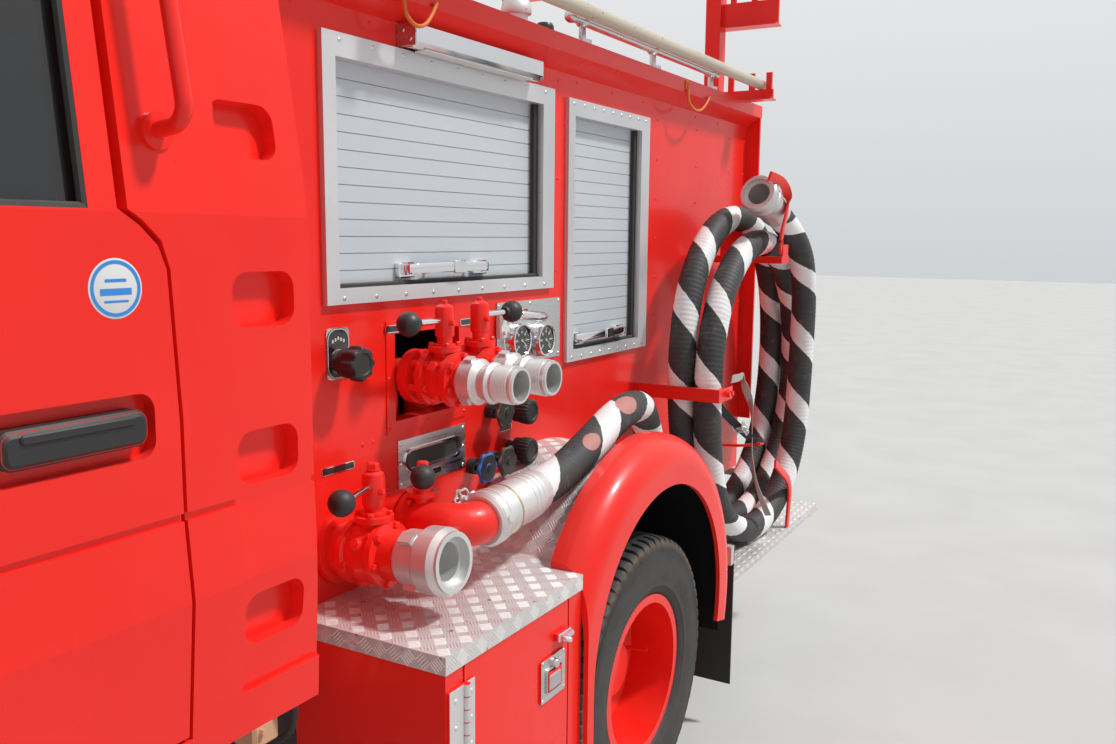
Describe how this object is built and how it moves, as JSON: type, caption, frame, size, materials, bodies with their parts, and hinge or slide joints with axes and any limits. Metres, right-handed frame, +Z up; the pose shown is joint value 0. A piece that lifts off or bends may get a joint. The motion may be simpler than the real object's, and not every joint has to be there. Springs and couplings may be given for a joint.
{
  "type": "fire pump truck",
  "caption": "Light fire pump truck with a double cab, side shutters, delivery outlets, suction inlets, a stowed suction hose and a checker-plate deck.",
  "frame": {"origin": "on the ground, in the middle of the truck's length and width", "axes": "+X to the front of the truck, +Y to its left, +Z up"},
  "size_m": [5.52, 2.3, 2.5999],
  "materials": {
    "red_paint": "gloss",
    "chassis_black": "satin",
    "cast_metal": "rough",
    "aluminium": "satin",
    "shutter_grey": "satin",
    "steel": "brushed",
    "chrome": "polished",
    "black_plastic": "matte",
    "black_rubber": "matte",
    "tyre_rubber": "matte",
    "clear_glass": "clear",
    "red_lens": "clear",
    "seat_cloth": "woven",
    "pole_paint": "satin"
  },
  "bodies": {
    "chassis": {"body_roof": "red_paint", "body_shell": "red_paint", "cab_glass": "clear_glass", "cab_seats": "seat_cloth", "cab_shell": "red_paint", "couplings": "aluminium", "dashboard": "black_plastic", "frame_rails": "chassis_black", "front_axle": "chassis_black", "front_bumper": "red_paint", "front_grille": "black_plastic", "fuel_tank": "chassis_black", "grab_handles": "red_paint", "hose_hooks": "red_paint", "ladder_rack": "red_paint", "leaf_springs": "chassis_black", "light_bar": "red_lens", "mirrors": "black_plastic", "mud_flaps": "black_rubber", "outlet_bay_frames": "red_paint", "panel_controls": "black_plastic", "panel_plates": "steel", "power_train": "chassis_black", "pump_unit": "cast_metal", "rear_axle": "chassis_black", "rear_fenders": "red_paint", "rear_platform": "aluminium", "road_lamps": "clear_glass", "roof_poles": "pole_paint", "roof_rails": "steel", "shutter_curtains": "shutter_grey", "shutter_frames": "aluminium", "side_lockers": "red_paint", "steering_wheel": "black_plastic", "subframe": "chassis_black", "suction_hose": "black_rubber", "tread_plates": "aluminium", "valve_levers": "chrome", "valves": "red_paint", "work_lamps": "steel"},
    "left_knuckle": {"knuckle_left": "chassis_black"},
    "right_knuckle": {"knuckle_right": "chassis_black"},
    "front_left_wheel": {"tyre_front_left": "tyre_rubber", "wheel_front_left": "red_paint"},
    "front_right_wheel": {"tyre_front_right": "tyre_rubber", "wheel_front_right": "red_paint"},
    "rear_left_wheels": {"tyres_rear_left": "tyre_rubber", "wheels_rear_left": "red_paint"},
    "rear_right_wheels": {"tyres_rear_right": "tyre_rubber", "wheels_rear_right": "red_paint"},
    "front_left_door": {"door_front_left": "red_paint", "door_glass_front_left": "clear_glass"},
    "front_right_door": {"door_front_right": "red_paint", "door_glass_front_right": "clear_glass"},
    "rear_left_door": {"door_rear_left": "red_paint", "door_glass_rear_left": "clear_glass"},
    "rear_right_door": {"door_rear_right": "red_paint", "door_glass_rear_right": "clear_glass"},
    "left_locker_door": {"locker_door_left": "red_paint"},
    "right_locker_door": {"locker_door_right": "red_paint"}
  },
  "joints": [
    {"name": "steer_left", "type": "hinge", "parent": "chassis", "child": "left_knuckle", "pos_m": [1.74, 0.6, 0.3775], "axis": [0, 0, 1], "range_deg": [-33, 33]},
    {"name": "spin_front_left", "type": "hinge", "parent": "left_knuckle", "child": "front_left_wheel", "pos_m": [1.74, 0.735, 0.3775], "axis": [0, 1, 0], "continuous": true},
    {"name": "spin_rear_left", "type": "hinge", "parent": "chassis", "child": "rear_left_wheels", "pos_m": [-1.06, 0.686, 0.3775], "axis": [0, 1, 0], "continuous": true},
    {"name": "door_front_left_swing", "type": "hinge", "parent": "chassis", "child": "front_left_door", "pos_m": [2.484, 0.857, 1.4], "axis": [0, 0, -1], "range_deg": [0, 65]},
    {"name": "door_rear_left_swing", "type": "hinge", "parent": "chassis", "child": "rear_left_door", "pos_m": [1.334, 0.857, 1.4], "axis": [0, 0, -1], "range_deg": [0, 65]},
    {"name": "locker_door_left_swing", "type": "hinge", "parent": "chassis", "child": "left_locker_door", "pos_m": [-0.178, 0.9323, 0.58], "axis": [0, 0, -1], "range_deg": [0, 110]},
    {"name": "steer_right", "type": "hinge", "parent": "chassis", "child": "right_knuckle", "pos_m": [1.74, -0.6, 0.3775], "axis": [0, 0, 1], "range_deg": [-33, 33]},
    {"name": "spin_front_right", "type": "hinge", "parent": "right_knuckle", "child": "front_right_wheel", "pos_m": [1.74, -0.735, 0.3775], "axis": [0, 1, 0], "continuous": true},
    {"name": "spin_rear_right", "type": "hinge", "parent": "chassis", "child": "rear_right_wheels", "pos_m": [-1.06, -0.686, 0.3775], "axis": [0, 1, 0], "continuous": true},
    {"name": "door_front_right_swing", "type": "hinge", "parent": "chassis", "child": "front_right_door", "pos_m": [2.484, -0.857, 1.4], "axis": [0, 0, 1], "range_deg": [0, 65]},
    {"name": "door_rear_right_swing", "type": "hinge", "parent": "chassis", "child": "rear_right_door", "pos_m": [1.334, -0.857, 1.4], "axis": [0, 0, 1], "range_deg": [0, 65]},
    {"name": "locker_door_right_swing", "type": "hinge", "parent": "chassis", "child": "right_locker_door", "pos_m": [-0.178, -0.9323, 0.58], "axis": [0, 0, 1], "range_deg": [0, 110]}
  ],
  "couplings": [
    {"joint": "steer_right", "follows": "steer_left", "ratio": 1}
  ]
}
